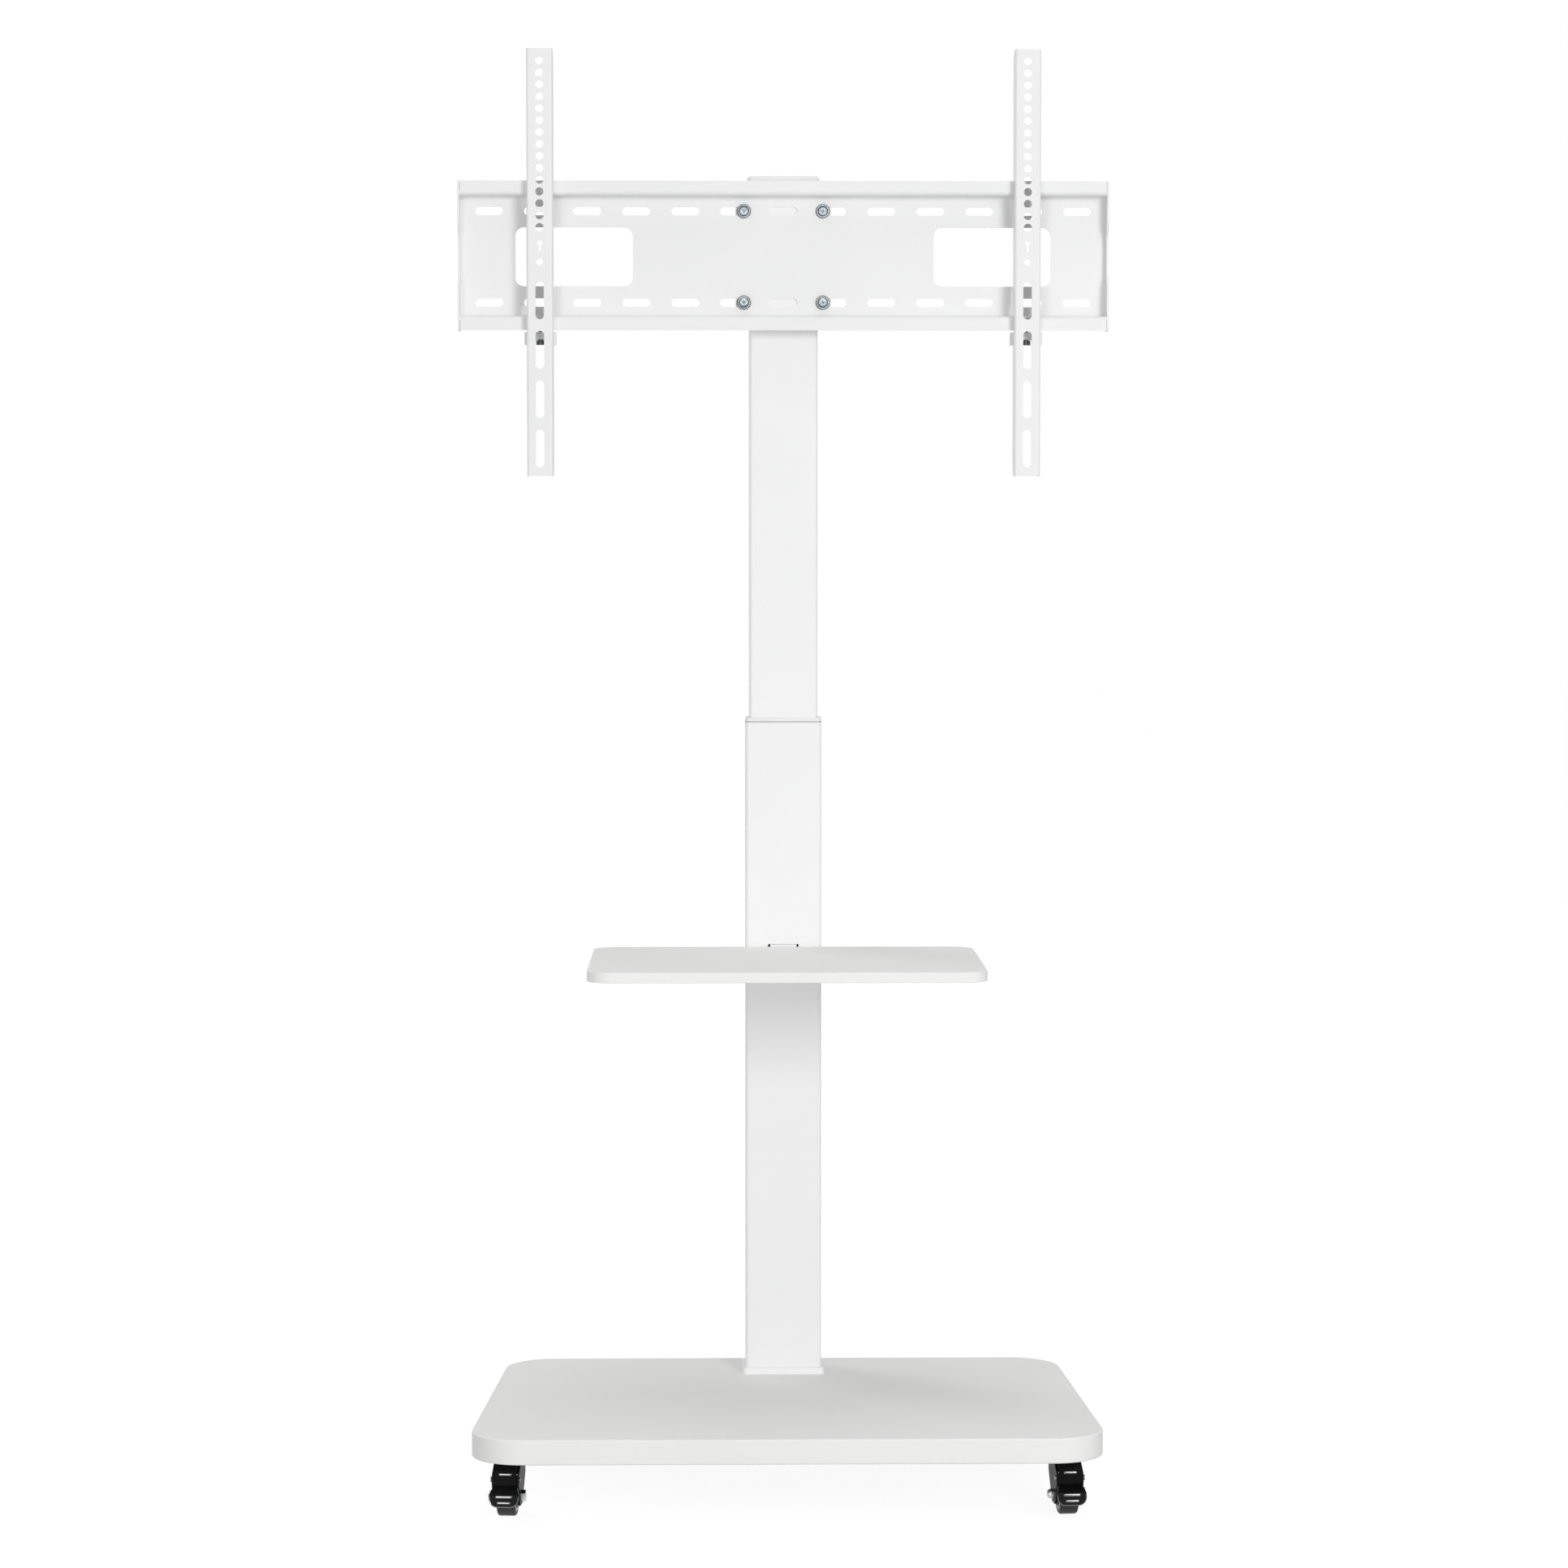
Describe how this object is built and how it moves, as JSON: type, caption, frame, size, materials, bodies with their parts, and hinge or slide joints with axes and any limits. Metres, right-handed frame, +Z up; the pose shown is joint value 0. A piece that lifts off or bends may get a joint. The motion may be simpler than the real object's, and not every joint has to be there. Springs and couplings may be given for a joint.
{
  "type": "mobile tv stand with mount",
  "caption": "White mobile TV stand: board base on braked casters, telescopic column with a shelf, slotted wall plate and hook-on TV arms.",
  "frame": {"origin": "floor level under the middle of the overall box, between the four wheels", "axes": "+Z up, front and TV side face -Y, +X to the viewer's right"},
  "size_m": [0.678, 0.42, 1.4741],
  "materials": {
    "white_laminate": "satin white laminate on fibreboard",
    "white_coat": "fine white powder coat",
    "white_plastic": "satin",
    "grey_plastic": "satin",
    "zinc": "bright zinc plate",
    "dark_zinc": "dark zinc plate",
    "plain_steel": "plain",
    "black_coat": "gloss black coat",
    "pedal_plastic": "gloss",
    "hub_plastic": "satin",
    "tread_rubber": "matte"
  },
  "bodies": {
    "base": {"base_board": "white_laminate", "base_stiffener": "plain_steel", "base_bolts": "zinc", "base_washers": "zinc", "column_foot": "white_coat", "lower_column": "white_coat", "column_collar": "white_plastic", "height_bolts": "zinc", "height_washers": "zinc", "shelf_board": "white_laminate", "shelf_bracket": "white_coat", "shelf_screws": "zinc", "bracket_bolts": "zinc", "caster_plates": "black_coat", "caster_kingpins": "zinc", "caster_screws": "zinc"},
    "mast": {"upper_column": "white_coat", "column_cap": "white_plastic", "column_glide": "grey_plastic", "height_strip": "plain_steel", "head_plate": "white_coat", "wall_plate": "white_coat", "head_bolts": "zinc", "head_washers": "zinc", "head_nuts": "zinc"},
    "left_arm": {"arm_left": "white_coat", "lock_bracket_left": "white_coat"},
    "left_safety_screw": {"safety_screw_left": "dark_zinc"},
    "right_arm": {"arm_right": "white_coat", "lock_bracket_right": "white_coat"},
    "right_safety_screw": {"safety_screw_right": "dark_zinc"},
    "front_left_swivel": {"front_left_fork": "black_coat", "front_left_axle": "zinc", "front_left_balls": "zinc", "front_left_pedal_pin": "zinc"},
    "front_left_wheel": {"front_left_hub": "hub_plastic", "front_left_tyre": "tread_rubber"},
    "front_left_brake": {"front_left_pedal": "pedal_plastic"},
    "front_right_swivel": {"front_right_fork": "black_coat", "front_right_axle": "zinc", "front_right_balls": "zinc", "front_right_pedal_pin": "zinc"},
    "front_right_wheel": {"front_right_hub": "hub_plastic", "front_right_tyre": "tread_rubber"},
    "front_right_brake": {"front_right_pedal": "pedal_plastic"},
    "rear_left_swivel": {"rear_left_fork": "black_coat", "rear_left_axle": "zinc", "rear_left_balls": "zinc"},
    "rear_left_wheel": {"rear_left_hub": "hub_plastic", "rear_left_tyre": "tread_rubber"},
    "rear_right_swivel": {"rear_right_fork": "black_coat", "rear_right_axle": "zinc", "rear_right_balls": "zinc"},
    "rear_right_wheel": {"rear_right_hub": "hub_plastic", "rear_right_tyre": "tread_rubber"}
  },
  "joints": [
    {"name": "mast_height", "type": "slide", "parent": "base", "child": "mast", "axis": [0, 0, 1], "range_m": [-0.3, 0]},
    {"name": "left_arm_slide", "type": "slide", "parent": "mast", "child": "left_arm", "axis": [1, 0, 0], "range_m": [-0.047, 0.153]},
    {"name": "left_safety_screw_travel", "type": "slide", "parent": "left_arm", "child": "left_safety_screw", "axis": [0, 0, 1], "range_m": [-0.012, 0]},
    {"name": "right_arm_slide", "type": "slide", "parent": "mast", "child": "right_arm", "axis": [1, 0, 0], "range_m": [-0.153, 0.047]},
    {"name": "right_safety_screw_travel", "type": "slide", "parent": "right_arm", "child": "right_safety_screw", "axis": [0, 0, 1], "range_m": [-0.012, 0]},
    {"name": "front_left_swivel_turn", "type": "hinge", "parent": "base", "child": "front_left_swivel", "pos_m": [-0.276, -0.146, 0.06], "axis": [0, 0, 1], "continuous": true},
    {"name": "front_left_wheel_spin", "type": "hinge", "parent": "front_left_swivel", "child": "front_left_wheel", "pos_m": [-0.27739, -0.16194, 0.02], "axis": [0.9962, -0.0872, 0], "continuous": true},
    {"name": "front_left_brake_press", "type": "hinge", "parent": "front_left_swivel", "child": "front_left_brake", "pos_m": [-0.27875, -0.17738, 0.039], "axis": [0.9962, -0.0872, 0], "range_deg": [0, 14]},
    {"name": "front_right_swivel_turn", "type": "hinge", "parent": "base", "child": "front_right_swivel", "pos_m": [0.276, -0.146, 0.06], "axis": [0, 0, 1], "continuous": true},
    {"name": "front_right_wheel_spin", "type": "hinge", "parent": "front_right_swivel", "child": "front_right_wheel", "pos_m": [0.27739, -0.16194, 0.02], "axis": [0.9962, 0.0872, 0], "continuous": true},
    {"name": "front_right_brake_press", "type": "hinge", "parent": "front_right_swivel", "child": "front_right_brake", "pos_m": [0.27875, -0.17738, 0.039], "axis": [0.9962, 0.0872, 0], "range_deg": [0, 14]},
    {"name": "rear_left_swivel_turn", "type": "hinge", "parent": "base", "child": "rear_left_swivel", "pos_m": [-0.253, 0.146, 0.06], "axis": [0, 0, 1], "continuous": true},
    {"name": "rear_left_wheel_spin", "type": "hinge", "parent": "rear_left_swivel", "child": "rear_left_wheel", "pos_m": [-0.25439, 0.13006, 0.02], "axis": [0.9962, -0.0872, 0], "continuous": true},
    {"name": "rear_right_swivel_turn", "type": "hinge", "parent": "base", "child": "rear_right_swivel", "pos_m": [0.253, 0.146, 0.06], "axis": [0, 0, 1], "continuous": true},
    {"name": "rear_right_wheel_spin", "type": "hinge", "parent": "rear_right_swivel", "child": "rear_right_wheel", "pos_m": [0.25439, 0.13006, 0.02], "axis": [0.9962, 0.0872, 0], "continuous": true}
  ]
}
